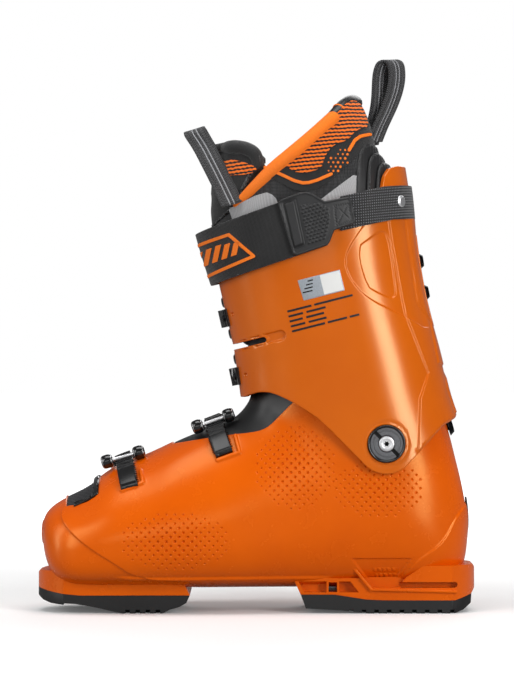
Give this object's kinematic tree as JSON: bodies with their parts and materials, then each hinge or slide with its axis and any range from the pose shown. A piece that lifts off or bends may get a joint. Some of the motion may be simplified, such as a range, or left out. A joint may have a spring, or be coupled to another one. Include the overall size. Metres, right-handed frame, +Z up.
{
  "type": "ski boot",
  "caption": "Alpine ski boot for the right foot: overlap shell, hinged cuff, buckles, power strap, padded liner with tongue, and rubber soles for a ski binding.",
  "frame": {"origin": "on the ground, halfway along the boot sole and on its centre line", "axes": "+X to the heel, +Y to the outer (lateral) side of the right boot, +Z up"},
  "size_m": [0.315, 0.1317, 0.3981],
  "materials": {
    "board_plastic": "matt foamed plastic",
    "cuff_plastic": "gloss, moulded polyurethane",
    "disc_metal": "satin",
    "elastic_black": "ribbed elastic",
    "gloss_black": "gloss",
    "insole_fabric": "brushed",
    "label_film": "printed film",
    "lever_metal": "black anodised",
    "liner_fabric": "padded knit and mesh",
    "orange_fabric": "ribbed knit",
    "satin_black": "satin",
    "shell_plastic": "gloss, moulded polyurethane",
    "soft_rubber": "matt",
    "sole_rubber": "matt, moulded",
    "spine_plastic": "satin",
    "steel": "polished zinc-plated steel",
    "webbing_grey": "woven webbing"
  },
  "bodies": {
    "lower_boot": {"lower_shell": "shell_plastic", "toe_sole": "sole_rubber", "heel_sole": "sole_rubber", "toe_sole_screws": "steel", "heel_sole_screws": "steel", "instep_dam": "gloss_black", "toe_dam": "satin_black", "boot_board": "board_plastic", "footbed": "insole_fabric", "liner_foot": "liner_fabric", "heel_bolt": "steel", "heel_bumper": "soft_rubber", "toe_ladder": "satin_black", "toe_buckle_base": "satin_black", "toe_lever_pin": "steel", "instep_ladder": "satin_black", "instep_buckle_base": "satin_black", "instep_lever_pin": "steel", "shell_rivets": "steel", "pivot_screws": "steel", "pivot_nuts": "steel"},
    "cuff_unit": {"cuff": "cuff_plastic", "liner_cuff": "liner_fabric", "liner_tongue": "liner_fabric", "collar_piping": "orange_fabric", "tongue_loop": "webbing_grey", "heel_loop": "webbing_grey", "rear_spoiler": "satin_black", "power_strap": "elastic_black", "strap_webbing": "elastic_black", "strap_tab": "soft_rubber", "strap_rivets": "steel", "spine_gasket": "soft_rubber", "spine_plate": "spine_plastic", "spine_bolts": "steel", "info_label": "label_film", "mid_ladder": "satin_black", "mid_buckle_base": "satin_black", "mid_lever_pin": "steel", "top_ladder": "satin_black", "top_buckle_base": "satin_black", "top_lever_pin": "steel", "cuff_rivets": "steel"},
    "medial_cant": {"medial_cant_disc": "disc_metal"},
    "lateral_cant": {"lateral_cant_disc": "disc_metal"},
    "toe_lever_arm": {"toe_lever": "lever_metal"},
    "toe_wire_loop": {"toe_bail": "steel"},
    "instep_lever_arm": {"instep_lever": "lever_metal"},
    "instep_wire_loop": {"instep_bail": "steel"},
    "mid_lever_arm": {"mid_lever": "lever_metal"},
    "mid_wire_loop": {"mid_bail": "steel"},
    "top_lever_arm": {"top_lever": "lever_metal"},
    "top_wire_loop": {"top_bail": "steel"}
  },
  "joints": [
    {"name": "cuff_flex", "type": "hinge", "parent": "lower_boot", "child": "cuff_unit", "pos_m": [0.092, 0, 0.1215], "axis": [0, -1, 0], "range_deg": [0, 4]},
    {"name": "medial_cant_turn", "type": "hinge", "parent": "cuff_unit", "child": "medial_cant", "pos_m": [0.092, -0.05, 0.1215], "axis": [0, 1, 0], "range_deg": [-30, 30]},
    {"name": "lateral_cant_turn", "type": "hinge", "parent": "cuff_unit", "child": "lateral_cant", "pos_m": [0.092, 0.05, 0.1215], "axis": [0, 1, 0], "range_deg": [-30, 30]},
    {"name": "toe_lever_open", "type": "hinge", "parent": "lower_boot", "child": "toe_lever_arm", "pos_m": [-0.09492, 0.02601, 0.10693], "axis": [0.9613, 0, 0.2756], "range_deg": [0, 150]},
    {"name": "toe_loop_swing", "type": "hinge", "parent": "toe_lever_arm", "child": "toe_wire_loop", "pos_m": [-0.09283, 0.03817, 0.09967], "axis": [0.9613, 0, 0.2756], "range_deg": [-240, 0]},
    {"name": "instep_lever_open", "type": "hinge", "parent": "lower_boot", "child": "instep_lever_arm", "pos_m": [-0.02965, 0.02621, 0.13265], "axis": [0.9397, 0, 0.342], "range_deg": [0, 150]},
    {"name": "instep_loop_swing", "type": "hinge", "parent": "instep_lever_arm", "child": "instep_wire_loop", "pos_m": [-0.02669, 0.03772, 0.12452], "axis": [0.9397, 0, 0.342], "range_deg": [-240, 0]},
    {"name": "mid_lever_open", "type": "hinge", "parent": "cuff_unit", "child": "mid_lever_arm", "pos_m": [0.02085, 0.05708, 0.1762], "axis": [-0.2079, 0, 0.9781], "range_deg": [0, 150]},
    {"name": "mid_loop_swing", "type": "hinge", "parent": "mid_lever_arm", "child": "mid_wire_loop", "pos_m": [0.03603, 0.06128, 0.17942], "axis": [-0.2079, 0, 0.9781], "range_deg": [-240, 0]},
    {"name": "top_lever_open", "type": "hinge", "parent": "cuff_unit", "child": "top_lever_arm", "pos_m": [0.01067, 0.05897, 0.21831], "axis": [-0.225, 0, 0.9744], "range_deg": [0, 150]},
    {"name": "top_loop_swing", "type": "hinge", "parent": "top_lever_arm", "child": "top_wire_loop", "pos_m": [0.02576, 0.06371, 0.22179], "axis": [-0.225, 0, 0.9744], "range_deg": [-240, 0]}
  ],
  "couplings": [
    {"joint": "toe_loop_swing", "follows": "toe_lever_open", "ratio": -1.6},
    {"joint": "instep_loop_swing", "follows": "instep_lever_open", "ratio": -1.6},
    {"joint": "mid_loop_swing", "follows": "mid_lever_open", "ratio": -1.6},
    {"joint": "top_loop_swing", "follows": "top_lever_open", "ratio": -1.6}
  ]
}
